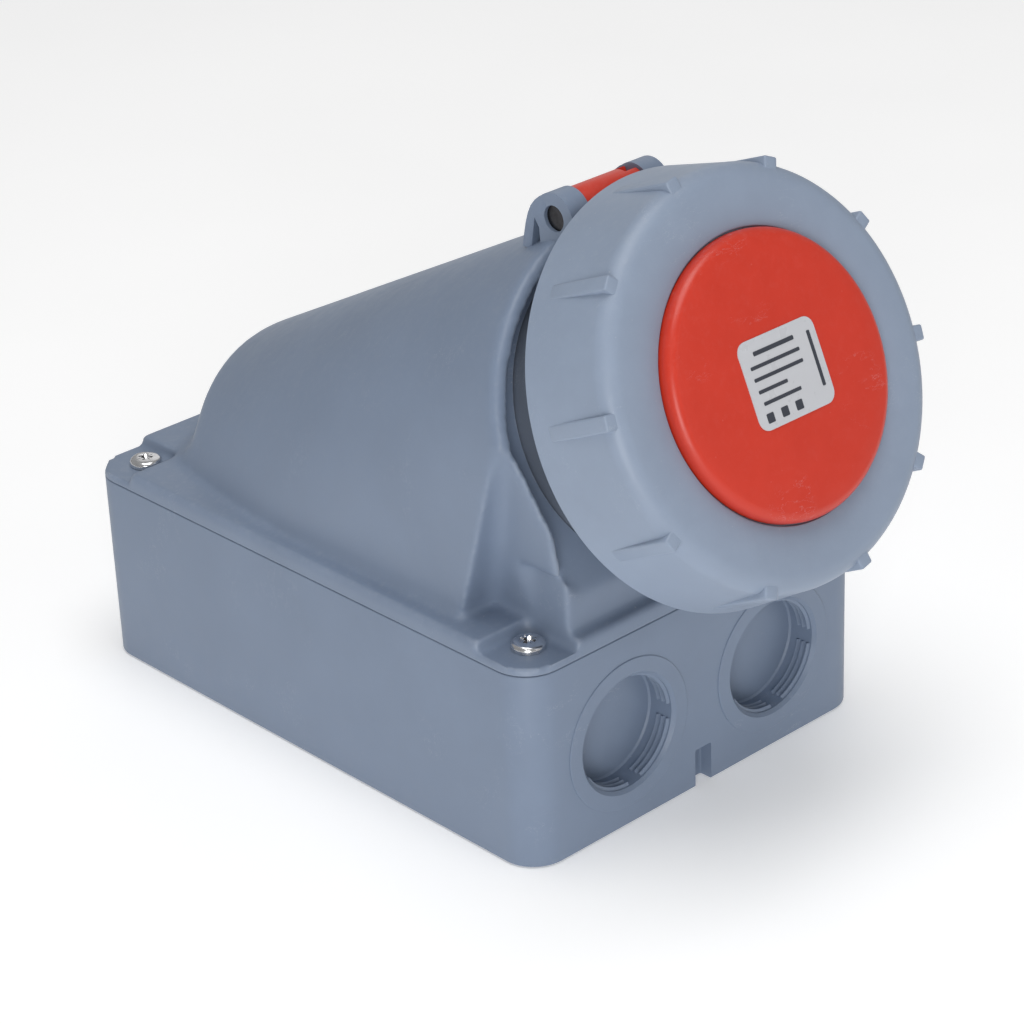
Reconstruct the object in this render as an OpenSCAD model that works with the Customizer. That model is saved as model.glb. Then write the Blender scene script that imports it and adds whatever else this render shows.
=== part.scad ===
// Industrial wall socket with an inclined mouth, a hinged lid and a bayonet locking ring.
// Millimetres. The origin is the centre of the wall face, +Z points away from the wall,
// and the cable entries are in the -Y face.

/* [Wall box] */
// Length of the box along Y
body_l = 176.6; // [170:0.1:200]
// Height of the box up to the parting line
box_h = 55; // [48:0.1:70]
// Radius of the four vertical corners
corner_r = 10; // [6:0.5:14]
// Thickness of the box walls
box_wall = 4; // [3.6:0.1:5]
// Thickness of the box floor
floor_t = 3.5; // [2.5:0.1:6]
// Distances from the box's sides and ends to the wall-fixing holes
fixing_in = [23.6, 26.3]; // [20:0.1:40]
// Radius of a wall-fixing hole
fixing_r = 3; // [2:0.1:4]
// Height of the boss round a wall-fixing hole
fixing_boss_h = 3.5; // [1:0.5:8]

/* [Cable entries] */
// Distance between the two entries
entry_pitch = 53.8; // [50:0.1:56]
// Height of the entries above the wall face
entry_z = 26.6; // [25:0.1:30]
// Radius of the entry bore
entry_r = 16; // [10:0.1:16.5]
// Depth of the blind bore
entry_depth = 8.5; // [5:0.1:12]
// Thickness of the membrane that closes the bore
membrane_t = 1.8; // [0.8:0.1:3]
// Width of the boss round the bore
entry_boss_w = 4.5; // [3:0.1:6]
// Height of the flat pad round each entry
entry_pad_t = 0.3; // [0.1:0.1:1]
// Width, depth and height of the drain notch in the lower edge
notch = [6, 4, 11]; // [2:0.5:12]

/* [Cover] */
// Thickness of the cover plate
plate_t = 4.7; // [4:0.1:7]
// Gap between box and cover at the parting line
parting_gap = 0.3; // [0.1:0.1:1]
// Thickness of the tower walls
cover_wall = 3.2; // [2.5:0.1:4]
// Width from the barrel to the outside of the tower
hood_w = 14.2; // [13:0.1:16]
// Width of the ledge beside the tower
ledge_w = 6.4; // [5:0.1:10]
// Distance from the box's front face to the tower's front wall
front_gap = 3.8; // [3:0.1:6]
// Distance from the box's rear face to the tower's rear wall
rear_gap = 9.8; // [8:0.1:14]
// Radius of the tower's rear wall in plan
rear_arc_r = 71.5; // [68:0.1:74]
// Fall of the tower's crown below the horizontal
crown_slope = 27.3; // [22:0.1:32]
// Point on the axis of the crown behind and below the mouth's reference point
crown_set = [1.1, 7.1]; // [0:0.1:12]
// Front edge of the tower's rim behind the reference point
rim_set = 4; // [3:0.1:5]
// Floor of the hollow in the tower's front behind the reference point
rim_h = 12; // [9:0.5:14]
// Width of the rim round the hollow
rim_w = 4.2; // [3:0.1:5]

/* [Screw pockets] */
// Distances from the box's sides and ends to the cover screws
screw_in = [11.3, 11]; // [10:0.1:14]
// Depth of the recess round a screw head
recess_d = 3; // [2:0.1:3.5]
// Distance from the screw axis to the recess walls
recess_w = 7; // [6:0.1:7.2]
// Radius in the inner corner of a recess or pocket
pocket_r = 3.8; // [2:0.1:5]
// Width of a front pocket at its foot
pocket_w = 12; // [11:0.1:13]
// Length of a front pocket at its foot
pocket_l = 26.9; // [20:0.1:32]
// Lean of a pocket towards the front
pocket_lean = 16.8; // [10:0.1:20]
// Lean of a pocket towards the side
pocket_splay = 10.1; // [6:0.1:14]

/* [Cover screws] */
// Radius of the screw head
head_r = 4.95; // [4:0.05:5.5]
// Height of the screw head
head_h = 2.8; // [2:0.1:3.5]
// Radius of the screw shank
shank_r = 2.45; // [2:0.05:3]
// Length of the screw under its head
shank_l = 20; // [12:0.5:30]
// Solid width between the screw axis and the seal
screw_land = 5.9; // [5:0.1:6]
// Width and depth of the cross recess
cross = [1.2, 1.6]; // [0.8:0.1:2]

/* [Cover seal] */
// Distance from the outer edge to the seal groove
seal_inset = 1.4; // [1:0.1:1.6]
// Width of the seal groove
groove_w = 2; // [1.4:0.1:2.4]
// Depth of the seal groove in the cover
groove_d = 2.5; // [1.5:0.1:3]
// Height of the tongue on the box rim
tongue_h = 1.1; // [0.5:0.1:1.6]

/* [Mouth] */
// Angle of the mouth axis above the horizontal
mouth_tilt = 24.16; // [20:0.01:30]
// Reference point on the mouth axis behind the tower's front wall
mouth_set = 4.8; // [3:0.1:8]
// Height from the cover plate to the barrel at the reference point
mouth_up = 8.4; // [6:0.1:12]
// Outer radius of the barrel
barrel_r = 41; // [40:0.1:42]
// Thickness of the barrel's wall
barrel_wall = 4.5; // [4:0.1:6]
// Front end of the barrel ahead of the reference point
barrel_front = 27; // [24:0.5:28]
// Chamfer on the barrel's front edge
barrel_chamfer = 1; // [0.5:0.1:1.5]
// Depth of the barrel's flange behind the reference point
flange_front = 28.6; // [26:0.1:34]
// Thickness of the barrel's flange
flange_t = 3.2; // [2.5:0.1:4]
// Width of the collar of the cover round the barrel
collar_w = 4.7; // [4.5:0.1:5]
// Thickness of the barrel seal
barrel_seal_t = 1.6; // [1:0.1:2.5]
// Width and depth of the keyway
keyway = [6, 2]; // [1:0.1:8]
// Height of the flat top edge of the flange above the barrel
flange_up = 2.3; // [1:0.1:3]

/* [Bayonet] */
// Angle of the first lug of the barrel
lug_angle = 10; // [0:1:20]
// Half angle covered by each lug
lug_half = 14; // [8:0.5:16]
// Height of the barrel lugs
barrel_lug_h = 5.2; // [4:0.1:5.6]
// Front and rear face of the barrel lugs ahead of the reference point
barrel_lug_z = 19.5; // [18:0.1:21]
barrel_lug_t = 4; // [3:0.1:5]
// Distance from the barrel to the ring lugs
ring_lug_gap = 3.8; // [3.6:0.1:4]
// Thickness of the ring lugs
ring_lug_t = 3.5; // [2.5:0.1:4]
// Turn of the ring from open to locked
ring_turn = 40; // [34:1:44]

/* [Flange screws] */
// Distance from the barrel to the side lugs of the flange
side_lug_w = 5.5; // [5:0.1:6]
// Distance from the barrel to the lower lugs of the flange
low_lug_w = 8.65; // [7:0.05:9]
// Angle of the lower lugs below the horizontal
low_lug_angle = 55.67; // [50:0.01:60]
// Radius of the lugs and bosses
lug_r = 4.8; // [4:0.1:5]
// Radius of the flange screws
flange_screw_r = 1.95; // [1.5:0.05:2.2]
// Length of the flange screws under the head
flange_screw_l = 15; // [10:0.5:18]

/* [Contacts] */
// Distance from the pins' circle to the outside of the insulator
pin_in = 10.5; // [9.5:0.1:12]
// Width of the slot for the plug's rim
plug_slot_w = 6; // [5:0.1:7]
// Front face of the insulator ahead of the reference point
carrier_front = 22; // [18:0.5:24]
// Depth of the plug space behind the reference point
plug_floor = 24; // [20:0.5:26]
// Radius of a phase pin
phase_pin_r = 4; // [3:0.1:4.5]
// Radius of the earth pin
earth_pin_r = 5; // [4:0.1:5.2]
// Radius of the pilot pin
pilot_pin_r = 3; // [2:0.1:3.2]
// Sliding clearance between pin and contact
pin_fit = 0.04; // [0.02:0.01:0.05]
// Wall of a contact sleeve
sleeve_wall = 1.96; // [1.5:0.01:2.5]
// Front end of the phase contacts ahead of the reference point
phase_front = 12; // [8:0.5:14]
// Front end of the earth contact ahead of the reference point
earth_front = 16; // [12:0.5:18]
// Front end of the pilot contact ahead of the reference point
pilot_front = 2; // [-6:0.5:8]
// Depth of a contact's pin bore
pin_bore_l = 34; // [28:0.5:36]
// Rear end of the contacts behind the reference point
contact_rear = 51; // [48:0.5:56]
// Radius of the conductor bore
wire_r = 3.2; // [1.5:0.1:3.3]
// Radius of the terminal screws
terminal_screw_r = 1.9; // [1.5:0.05:2.2]

/* [Lid and ring] */
// Distance from the edge of the lid disc to the outside of the barrel
disc_in = 5.2; // [4.5:0.1:6]
// Outline plane of the disc ahead of the reference point
disc_z = 38; // [37.5:0.1:38.5]
// Height of the disc face above its outline plane
disc_rise = 3.2; // [2:0.1:4]
// Width of the seat that carries the disc's edge
disc_lap = 1.8; // [1.4:0.1:3]
// Front face of the ring ahead of the reference point
ring_front = 37; // [36.5:0.1:37.2]
// Rear face of the ring ahead of the reference point
ring_rear = 10.5; // [10.4:0.1:11.3]
// Width from the barrel to the ring's front edge
ring_front_w = 11.6; // [10.5:0.1:12]
// Width from the barrel to the ring's rear edge
ring_rear_w = 14.5; // [13:0.1:15]
// Rounding of the ring's front edge
ring_round = 5; // [3:0.5:6]
// Width from the barrel to the inside of the ring's skirt
ring_bore_w = 8; // [7.8:0.1:8.6]
// Thickness of the ring's front web
ring_web = 3.4; // [2.8:0.1:3.6]
// Depth of the seat for the disc
disc_seat = 1.4; // [1:0.1:1.6]
// Number of grip ribs
rib_n = 10; // [6:1:16]
// Angle of the first rib
rib_phase = 30; // [0:1:36]
// Width and height of a grip rib
rib = [4, 1.5]; // [1:0.1:6]
// Clearance between parts that turn past each other
turn_gap = 0.3; // [0.2:0.05:0.4]
// Width of the lid frame's plate beyond the barrel
frame_w = 2; // [1.5:0.1:2.5]
// Thickness of the lid frame's plate
frame_t = 3.3; // [2.5:0.1:3.6]
// Width and height of the label
label = [26.4, 22]; // [10:0.1:40]
// Thickness of the label
label_t = 0.2; // [0.1:0.05:0.4]

/* [Hinge] */
// Height of the hinge axis above the barrel
hinge_up = 10.05; // [10:0.05:12]
// Hinge axis ahead of the reference point
hinge_z = -2.4; // [-3:0.1:-2]
// Radius of the ears
ear_r = 6.6; // [6.2:0.1:7]
// Inner and outer face of an ear from the middle
ear_x = [10.7, 17.1]; // [10:0.1:26]
// Points of the ear's sloping back above and behind the axis
ear_back = [[4.6, 6.5], [3, 8.5], [1, 10.3], [-2.2, 12.9], [-4.5, 13.9]]; // [-5:0.1:14]
// Radius of the knuckle
knuckle_r = 6; // [5:0.1:6.2]
// Radius of the hinge pin
pin_r = 3.35; // [2.5:0.05:3.6]
// Clearance of the pin in the ears and in the knuckle
ear_fit = 0.02; // [0.01:0.01:0.05]
knuckle_fit = 0.05; // [0.02:0.01:0.1]
// Depth of the pin's ends below the ears
pin_recess = 1; // [0:0.1:3]

/* [Hidden] */
$fn = 96;

far = 300;
cut = 0.1;
hood_r = barrel_r + hood_w;
body_w = 2 * (hood_r + ledge_w);
plate_z = box_h + parting_gap;
plate_top = plate_z + plate_t;
front_wall_y = -body_l / 2 + front_gap;
rear_arc_y = body_l / 2 - rear_gap - rear_arc_r;
mouth_pos = [front_wall_y + mouth_set, plate_top + barrel_r + mouth_up];
crown_axis = [mouth_pos[0] + crown_set[0], mouth_pos[1] - crown_set[1]];
fixing_x = body_w / 2 - fixing_in[0];
fixing_y = body_l / 2 - fixing_in[1];
screw_x = body_w / 2 - screw_in[0];
screw_y = body_l / 2 - screw_in[1];
pocket_x = hood_r - pocket_w;
pocket_y = front_wall_y + pocket_l;
barrel_bore_r = barrel_r - barrel_wall;
flange_top = barrel_r + flange_up;
barrel_lug_r = barrel_r + barrel_lug_h;
ring_lug_r = barrel_r + ring_lug_gap;
side_lug_x = barrel_r + side_lug_w;
low_lug = (barrel_r + low_lug_w) * [cos(low_lug_angle), -sin(low_lug_angle)];
carrier_r = barrel_bore_r - plug_slot_w;
pin_circle_r = carrier_r - pin_in;
disc_r = barrel_r - disc_in;
ring_opening_r = disc_r - disc_lap;
ring_front_r = barrel_r + ring_front_w;
ring_rear_r = barrel_r + ring_rear_w;
ring_bore_r = barrel_r + ring_bore_w;
frame_r = barrel_r + frame_w;
hinge_v = barrel_r + hinge_up;
wall_gap = 0.3;
flange_w = 4.5;
screw_end_gap = 2.5;
recess_z = plate_top - recess_d;
groove_z = plate_z + groove_d;
tongue_z = box_h + tongue_h;
fit_side = 0.1;
side_trim = 0.1;
shank_fit = 0.05;
hole_gap = 0.45;
flange_rear = flange_front + flange_t;
cap_t = 3.4;
cap_rear = flange_rear + cap_t;
collar_r = barrel_r + turn_gap;
collar_end = flange_front - barrel_seal_t;
step_r = barrel_bore_r + 2.2;
step_t = 3.6;
seat_gap = 0.1;
screw_places = [[-1, -1], [1, -1], [1, 1], [-1, 1]];
lug_places = [[-side_lug_x, 0], [side_lug_x, 0], [-low_lug[0], low_lug[1]], low_lug];
phase_place = [-pin_circle_r, 0];
shoulder_w = 1.6;
shoulder_t = 2;
terminal_z = contact_rear - 7;
wire_depth = 13;
spigot_gap = 0.4;
disc_edge_r = 3;
frame_top = ring_front - ring_web - turn_gap;
frame_bottom = frame_top - frame_t;
seal_bottom = barrel_front + turn_gap;
skirt_r = ring_bore_r - 0.4;
skirt_w = 2;
arm_half = ear_x[0] - 0.8;
ring_lug_z = barrel_lug_z - barrel_lug_t - 0.5;

// Rounded rectangle of the body, set in from its edge
module body_plan(inset) {
    r = corner_r - inset;
    w = body_w / 2 - inset;
    l = body_l / 2 - inset;
    square([2 * (w - r), 2 * l], center = true);
    square([2 * w, 2 * (l - r)], center = true);
    for (s = screw_places) translate([s[0] * (w - r), s[1] * (l - r)]) circle(r = r);
}

// The area inside the seal line, which passes inside the four screws
module sealed_plan(inset) {
    difference() {
        body_plan(inset);
        for (s = screw_places)
            translate([s[0] * (screw_x - screw_land - inset + far / 2),
                       s[1] * (screw_y - screw_land - inset + far / 2)])
                square(far, center = true);
    }
}

module sealed_band(inset, width) {
    difference() {
        sealed_plan(inset);
        sealed_plan(inset + width);
    }
}

// Quadrant below and left of the origin with a rounded inner corner
module quadrant(r) {
    translate([-far, -far]) square([far - r, far]);
    translate([-far, -far]) square([far, far - r]);
    translate([-r, -r]) circle(r = r);
}

module at_entries() {
    for (s = [-1, 1])
        translate([s * entry_pitch / 2, -body_l / 2, entry_z]) rotate([-90, 0, 0]) children();
}

module at_screws() {
    for (s = screw_places) translate([s[0] * screw_x, s[1] * screw_y, 0]) children();
}

module at_fixings() {
    for (s = screw_places) translate([s[0] * fixing_x, s[1] * fixing_y, 0]) children();
}

// Frame of the mouth: local Z runs out along its axis, local Y up, origin at the reference point
module mouth() {
    translate([0, mouth_pos[0], mouth_pos[1]]) rotate([90 - mouth_tilt, 0, 0]) children();
}

// Prism along X from a profile given as up and forward in the frame of the mouth
module across(half) {
    translate([-half, 0, 0]) rotate([90, 0, 90]) linear_extrude(2 * half) children();
}

// Frame along the crown: local Z runs to the rear, local -Y up
module crown() {
    translate([0, crown_axis[0], crown_axis[1]]) rotate([-90 - crown_slope, 0, 0]) children();
}

module rear_box() {
    boss_r = entry_r + entry_boss_w;
    bore_end = entry_depth + membrane_t;
    boss_w = 4;
    thicken = 3.5;
    color("slategray") difference() {
        union() {
            difference() {
                linear_extrude(box_h) body_plan(0);
                translate([0, 0, floor_t]) linear_extrude(far) sealed_plan(box_wall);
            }
            translate([0, 0, box_h - cut]) linear_extrude(tongue_h + cut)
                sealed_band(seal_inset + 0.4, groove_w - 0.8);
            at_entries() cylinder(r = boss_r, h = bore_end);
            at_entries() translate([0, 0, -entry_pad_t])
                cylinder(r = boss_r + 0.6, h = entry_pad_t + cut);
            at_fixings() cylinder(r = fixing_r + boss_w, h = floor_t + fixing_boss_h);
            translate([-notch[0], -body_l / 2 + box_wall - cut, cut])
                cube([2 * notch[0], thicken, notch[2] + thicken]);
        }
        at_entries() translate([0, 0, -entry_pad_t - cut])
            cylinder(r = entry_r, h = entry_depth + entry_pad_t + cut);
        at_entries() translate([0, 0, -entry_pad_t - cut])
            cylinder(r1 = entry_r + 0.8, r2 = entry_r, h = 0.8 + cut);
        at_fixings() translate([0, 0, -cut]) cylinder(r = fixing_r, h = far);
        at_screws() translate([0, 0, recess_z - shank_l - 1])
            cylinder(r = shank_r + shank_fit, h = far, $fn = 48);
        translate([-notch[0] / 2, -body_l / 2 - entry_pad_t - cut, -cut])
            cube([notch[0], notch[1] + entry_pad_t + cut, notch[2] + cut]);
    }
}

module cover_seal() {
    color("dimgray") translate([0, 0, tongue_z]) linear_extrude(groove_z - tongue_z)
        sealed_band(seal_inset + fit_side, groove_w - 2 * fit_side);
}

// Plan of the tower, set in by a wall
module tower_plan(inset) {
    w = hood_r - side_trim - inset;
    translate([-w, front_wall_y + inset]) square([2 * w, rear_arc_y - front_wall_y - inset + cut]);
    intersection() {
        translate([0, rear_arc_y]) circle(r = rear_arc_r - inset, $fn = 160);
        translate([-w, rear_arc_y]) square([2 * w, far]);
    }
}

module tower_solid(inset, base, front) {
    w = hood_r - inset;
    intersection() {
        translate([0, 0, base]) linear_extrude(far) tower_plan(inset);
        crown() translate([0, 0, -far / 2]) linear_extrude(2 * far) {
            circle(r = w, $fn = 160);
            translate([-w, 0]) square([2 * w, far]);
        }
        mouth() translate([-far, -far, -front - 2 * far]) cube(2 * far);
    }
}

// Screw access at the front corners of the tower
module pockets(grow, base) {
    intersection() {
        for (m = [0, 1]) mirror([m, 0, 0])
            translate([-pocket_x + grow, pocket_y + grow, plate_top])
                rotate([pocket_lean, -pocket_splay, 0])
                translate([0, 0, -far / 2]) linear_extrude(far) quadrant(pocket_r + grow);
        translate([-far, -far, base]) cube(2 * far);
    }
}

module ear_profile() {
    foot_z = -rim_h;
    r = ear_r - 0.2;
    translate([hinge_v, hinge_z]) circle(r = ear_r);
    back = [for (p = ear_back) [hinge_v + p[0], hinge_z - p[1]]];
    polygon(concat([[hinge_v + r * cos(35), hinge_z - r * sin(35)]], back,
        [[barrel_r + 3, foot_z], [barrel_r + 3, 0],
         [hinge_v - r * cos(30), hinge_z + r * sin(30)]]));
}

// Height of the crown's axis above the mouth axis at a depth behind the reference point
function crown_v(depth) = crown_set[0] * sin(mouth_tilt) - crown_set[1] * cos(mouth_tilt)
    - depth * tan(crown_slope - mouth_tilt);

// Hollow in the tower's front, which leaves a rim round the barrel
module front_hollow() {
    mouth() translate([0, crown_v(0), -rim_h]) cylinder(r = hood_r - rim_w, h = far, $fn = 160);
}

// Section inside the tower's wall at the barrel's flange
module under_crown() {
    translate([0, crown_v(flange_rear)]) circle(r = hood_r - cover_wall - wall_gap, $fn = 160);
}

module front_cover() {
    notch_r = knuckle_r + 0.6;
    flange_bore_l = flange_screw_l - cap_t - flange_t + screw_end_gap + cut;
    color("slategray") difference() {
        union() {
            difference() {
                union() {
                    translate([0, 0, plate_z]) linear_extrude(plate_t) body_plan(0);
                    difference() {
                        tower_solid(0, plate_z, rim_set);
                        pockets(0, plate_top);
                        front_hollow();
                    }
                    at_screws() translate([0, 0, box_h]) cylinder(r = screw_land - 1, h = plate_t);
                }
                difference() {
                    tower_solid(cover_wall, floor_t, rim_h + cover_wall);
                    pockets(cover_wall, 0);
                }
            }
            intersection() {
                mouth() translate([0, 0, -collar_end]) cylinder(r = collar_r + collar_w, h = collar_end);
                tower_solid(0, plate_z, rim_h);
            }
            intersection() {
                mouth() for (p = lug_places) translate([p[0], p[1], -flange_front])
                    cylinder(r = lug_r, h = flange_front - rim_h - cover_wall + 1);
                tower_solid(0, plate_z, rim_h);
            }
            mouth() for (s = [-1, 1]) translate([s * (ear_x[0] + ear_x[1]) / 2, 0, 0])
                across((ear_x[1] - ear_x[0]) / 2) ear_profile();
        }
        mouth() translate([0, 0, -collar_end - cut]) cylinder(r = collar_r, h = far, $fn = 160);
        mouth() translate([0, hinge_v, hinge_z]) rotate([0, 90, 0]) {
            cylinder(r = pin_r + ear_fit, h = 2 * ear_x[1] + 2, center = true);
            cylinder(r = notch_r, h = 2 * ear_x[0], center = true);
        }
        mouth() for (p = lug_places) translate([p[0], p[1], -flange_front - cut])
            cylinder(r = flange_screw_r + shank_fit, h = flange_bore_l, $fn = 48);
        at_screws() translate([0, 0, box_h - cut])
            cylinder(r = shank_r + hole_gap, h = far, $fn = 48);
        for (a = [0, 1]) for (b = [0, 1]) mirror([a, 0, 0]) mirror([0, b, 0])
            translate([-screw_x + recess_w, -screw_y + recess_w, recess_z])
                linear_extrude(recess_d + cut) intersection() {
                    quadrant(pocket_r);
                    translate([-2 * recess_w - 6, -2 * recess_w - 6]) square(2 * recess_w + 6);
                }
        translate([0, 0, plate_z - cut]) linear_extrude(groove_d + cut)
            sealed_band(seal_inset, groove_w);
    }
}

module cover_screw(n) {
    s = screw_places[n];
    color("gainsboro") translate([s[0] * screw_x, s[1] * screw_y, recess_z]) difference() {
        union() {
            translate([0, 0, -shank_l]) cylinder(r = shank_r, h = shank_l + cut, $fn = 48);
            cylinder(r = head_r, h = head_h - 0.8, $fn = 64);
            translate([0, 0, head_h - 0.8]) cylinder(r1 = head_r, r2 = head_r - 0.9, h = 0.8, $fn = 64);
        }
        for (a = [0, 90]) rotate(a) translate([-head_r / 2, -cross[0] / 2, head_h - cross[1]])
            cube([head_r, cross[0], cross[1] + cut]);
    }
}

// Sector between two radii, centred on an angle
module sector(r_in, r_out, angle, half) {
    intersection() {
        difference() {
            circle(r = r_out, $fn = 160);
            circle(r = r_in, $fn = 160);
        }
        rotate(angle) polygon([[0, 0], [far * cos(half), -far * sin(half)],
                               [far * cos(half), far * sin(half)]]);
    }
}

// Outline of the barrel's flange with its four screw lugs
module flange_plan(r) {
    intersection() {
        union() {
            circle(r = r);
            for (p = lug_places) {
                translate(p) circle(r = lug_r);
                rotate(atan2(p[1], p[0])) translate([0, -lug_r]) square([norm(p), 2 * lug_r]);
            }
        }
        translate([-far, -far]) square([2 * far, far + flange_top]);
        under_crown();
    }
}

module socket_barrel() {
    lugs = [0, 120, 240];
    color("darkslategray") mouth() difference() {
        union() {
            translate([0, 0, -flange_rear])
                cylinder(r = barrel_r, h = flange_rear + barrel_front - barrel_chamfer, $fn = 160);
            translate([0, 0, barrel_front - barrel_chamfer])
                cylinder(r1 = barrel_r, r2 = barrel_r - barrel_chamfer, h = barrel_chamfer, $fn = 160);
            translate([0, 0, -flange_rear]) linear_extrude(flange_t)
                flange_plan(barrel_r + flange_w);
            for (a = lugs) translate([0, 0, barrel_lug_z - barrel_lug_t]) linear_extrude(barrel_lug_t)
                sector(barrel_r - 1, barrel_lug_r, lug_angle + a, lug_half);
        }
        translate([0, 0, -far / 2]) cylinder(r = barrel_bore_r, h = far, $fn = 160);
        translate([0, 0, -flange_rear - cut]) cylinder(r = step_r, h = step_t + cut, $fn = 160);
        translate([-keyway[0] / 2, -barrel_bore_r - keyway[1], -plug_floor])
            cube([keyway[0], 2 * keyway[1], far]);
        for (p = lug_places) translate([p[0], p[1], -flange_rear - cut])
            cylinder(r = flange_screw_r + hole_gap, h = flange_t + 2 * cut, $fn = 48);
    }
}

module barrel_seal() {
    color("dimgray") mouth() translate([0, 0, -flange_front]) difference() {
        linear_extrude(barrel_seal_t) intersection() {
            circle(r = collar_r + collar_w - 0.4, $fn = 160);
            under_crown();
        }
        translate([0, 0, -cut]) cylinder(r = barrel_r + fit_side, h = far, $fn = 160);
        translate([-far, flange_top, -cut]) cube(2 * far);
        for (p = lug_places) translate([p[0], p[1], -cut])
            cylinder(r = lug_r + fit_side, h = far, $fn = 48);
    }
}

module barrel_screw(n) {
    p = lug_places[n];
    head = [3.6, 2.4];
    color("gainsboro") mouth() translate([p[0], p[1], -cap_rear]) difference() {
        union() {
            cylinder(r = flange_screw_r, h = flange_screw_l, $fn = 48);
            translate([0, 0, -head[1]]) cylinder(r = head[0], h = head[1], $fn = 48);
        }
        for (a = [0, 90]) rotate(a) translate([-head[0] / 2, -0.4, -head[1] - cut])
            cube([head[0], 0.8, 1.3]);
    }
}

function contact_place(n) = n == 0 ? [-pin_circle_r, 0] : n == 1 ? [0, pin_circle_r]
    : n == 2 ? [pin_circle_r, 0] : n == 3 ? [0, -pin_circle_r] : [0, 0];
function contact_pin(n) = n < 3 ? phase_pin_r : n == 3 ? earth_pin_r : pilot_pin_r;
function contact_front(n) = n < 3 ? phase_front : n == 3 ? earth_front : pilot_front;
function contact_r(n) = contact_pin(n) + pin_fit + sleeve_wall;
function screw_angle(n) = [180, 90, 0, -90, 45][n];

module contact_carrier() {
    entry_gap = 0.5;
    color("dimgray") mouth() difference() {
        union() {
            translate([0, 0, -flange_rear]) cylinder(r = carrier_r, h = flange_rear + carrier_front);
            translate([0, 0, -flange_rear])
                cylinder(r = barrel_bore_r - seat_gap, h = flange_rear - plug_floor, $fn = 160);
            translate([0, 0, -flange_rear]) cylinder(r = step_r - seat_gap, h = step_t, $fn = 160);
        }
        for (n = [0 : 4]) translate([contact_place(n)[0], contact_place(n)[1], 0]) {
            translate([0, 0, -flange_rear - cut])
                cylinder(r = contact_r(n) + seat_gap, h = flange_rear + contact_front(n) + cut, $fn = 64);
            translate([0, 0, -flange_rear - cut])
                cylinder(r = contact_r(n) + shoulder_w + seat_gap, h = shoulder_t + cut, $fn = 64);
            cylinder(r = contact_pin(n) + entry_gap, h = far, $fn = 64);
        }
    }
}

module contact_cap() {
    color("dimgray") mouth() translate([0, 0, -cap_rear]) difference() {
        linear_extrude(cap_t) flange_plan(step_r);
        for (n = [0 : 4]) translate([contact_place(n)[0], contact_place(n)[1], -cut])
            cylinder(r = contact_r(n) + seat_gap, h = far, $fn = 64);
        for (p = lug_places) translate([p[0], p[1], -cut])
            cylinder(r = flange_screw_r + hole_gap, h = far, $fn = 48);
    }
}

module contact(n) {
    p = contact_place(n);
    r = contact_r(n);
    wire = min(wire_r, contact_pin(n));
    color("goldenrod") mouth() translate([p[0], p[1], 0]) difference() {
        union() {
            translate([0, 0, -contact_rear])
                cylinder(r = r, h = contact_rear + contact_front(n), $fn = 64);
            translate([0, 0, -flange_rear]) cylinder(r = r + shoulder_w, h = shoulder_t, $fn = 64);
        }
        translate([0, 0, contact_front(n) - min(pin_bore_l, contact_front(n) + flange_rear)])
            cylinder(r = contact_pin(n) + pin_fit, h = far, $fn = 64);
        translate([0, 0, -contact_rear - cut]) cylinder(r = wire, h = wire_depth + cut, $fn = 48);
        translate([0, 0, -terminal_z]) rotate([0, 90, screw_angle(n)])
            cylinder(r = terminal_screw_r + shank_fit, h = far, $fn = 48);
    }
}

module terminal_screw(n) {
    p = contact_place(n);
    stand_out = 2;
    slot = [0.9, 1.2];
    tip = min(wire_r, contact_pin(n)) - 1;
    head = contact_r(n) + stand_out;
    color("gainsboro") mouth() translate([p[0], p[1], -terminal_z]) rotate([0, 90, screw_angle(n)])
        difference() {
            translate([0, 0, tip]) cylinder(r = terminal_screw_r, h = head - tip, $fn = 48);
            translate([-terminal_screw_r - cut, -slot[0] / 2, head - slot[1]])
                cube([2 * terminal_screw_r + 2 * cut, slot[0], slot[1] + cut]);
        }
}

module hinge_pin() {
    color("dimgray") mouth() translate([0, hinge_v, hinge_z]) rotate([0, 90, 0])
        cylinder(r = pin_r, h = 2 * (ear_x[1] - pin_recess), center = true);
}

module lid_disc() {
    base = ring_front - disc_seat + turn_gap;
    top = disc_z + disc_rise;
    steps = 6;
    color("firebrick") mouth() rotate_extrude($fn = 160) polygon(concat(
        [[0, frame_top], [ring_opening_r - spigot_gap, frame_top],
         [ring_opening_r - spigot_gap, base], [disc_r, base]],
        [for (i = [0 : steps]) let (a = 90 * i / steps)
            [disc_r - disc_edge_r + disc_edge_r * cos(a), top - disc_edge_r + disc_edge_r * sin(a)]],
        [[0, top]]));
}

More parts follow.
